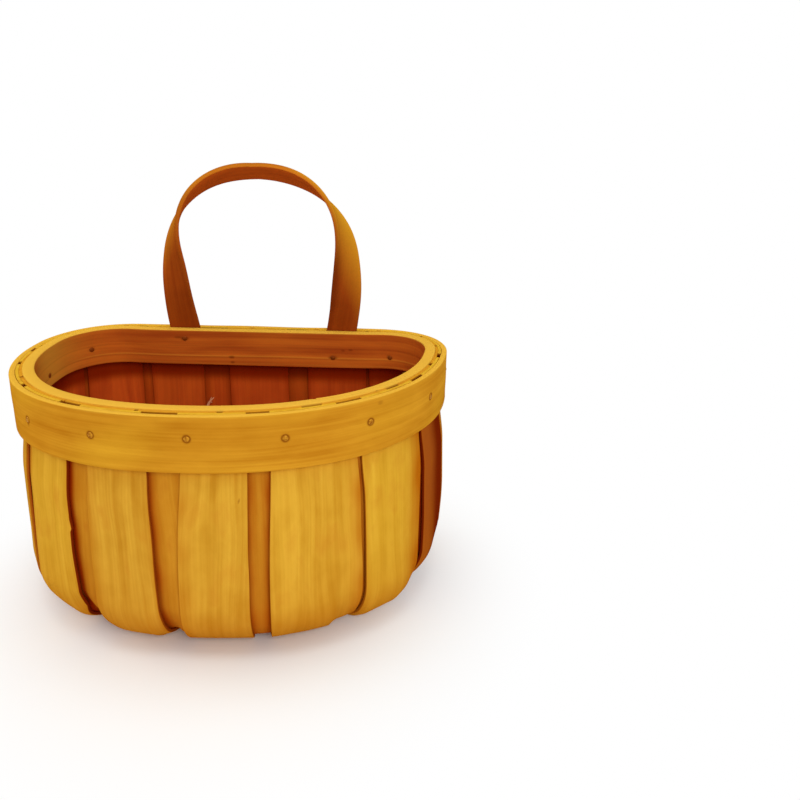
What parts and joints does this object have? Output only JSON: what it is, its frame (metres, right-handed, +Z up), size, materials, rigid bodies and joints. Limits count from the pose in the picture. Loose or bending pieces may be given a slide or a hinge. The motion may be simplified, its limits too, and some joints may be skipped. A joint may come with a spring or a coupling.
{
  "type": "hanging wall basket",
  "caption": "Half-round basket of bent wood veneer staves between two nailed hoops, with a flat back for a wall and a bent strip handle to hang it by.",
  "frame": {"origin": "middle of the bounding box, at the underside of the base that the basket stands on", "axes": "+X to the right along the rim, +Y from the rounded front to the flat back that lies on the wall, +Z up towards the handle"},
  "size_m": [0.2599, 0.1649, 0.2531],
  "materials": {
    "outer_veneer": "satin golden stain",
    "inner_veneer": "matt golden brown stain",
    "outer_hoop_wood": "satin golden stain",
    "inner_hoop_wood": "satin golden stain",
    "handle_wood": "satin reddish stain",
    "nail_metal": "dull brassed steel"
  },
  "bodies": {
    "root": {"outer_stave_01": "outer_veneer", "outer_stave_02": "outer_veneer", "outer_stave_03": "outer_veneer", "outer_stave_04": "outer_veneer", "outer_stave_05": "outer_veneer", "outer_stave_06": "outer_veneer", "outer_stave_07": "outer_veneer", "outer_stave_08": "outer_veneer", "outer_stave_09": "outer_veneer", "outer_stave_10": "outer_veneer", "outer_stave_11": "outer_veneer", "outer_stave_12": "outer_veneer", "outer_stave_13": "outer_veneer", "outer_stave_14": "outer_veneer", "outer_stave_15": "outer_veneer", "outer_stave_16": "outer_veneer", "inner_stave_01": "inner_veneer", "inner_stave_02": "inner_veneer", "inner_stave_03": "inner_veneer", "inner_stave_04": "inner_veneer", "inner_stave_05": "inner_veneer", "inner_stave_06": "inner_veneer", "inner_stave_07": "inner_veneer", "inner_stave_08": "inner_veneer", "inner_stave_09": "inner_veneer", "inner_stave_10": "inner_veneer", "inner_stave_11": "inner_veneer", "inner_stave_12": "inner_veneer", "inner_stave_13": "inner_veneer", "inner_stave_14": "inner_veneer", "inner_stave_15": "inner_veneer", "inner_stave_16": "inner_veneer", "outer_hoop": "outer_hoop_wood", "inner_hoop": "inner_hoop_wood", "base_disc": "inner_hoop_wood", "handle": "handle_wood", "outer_nail_1": "nail_metal", "outer_nail_2": "nail_metal", "outer_nail_3": "nail_metal", "outer_nail_4": "nail_metal", "outer_nail_5": "nail_metal", "outer_nail_6": "nail_metal", "outer_nail_7": "nail_metal", "outer_nail_8": "nail_metal", "outer_nail_9": "nail_metal", "inner_nail_1": "nail_metal", "inner_nail_2": "nail_metal", "inner_nail_3": "nail_metal", "inner_nail_4": "nail_metal", "inner_nail_5": "nail_metal", "base_nail": "nail_metal"}
  },
  "joints": []
}
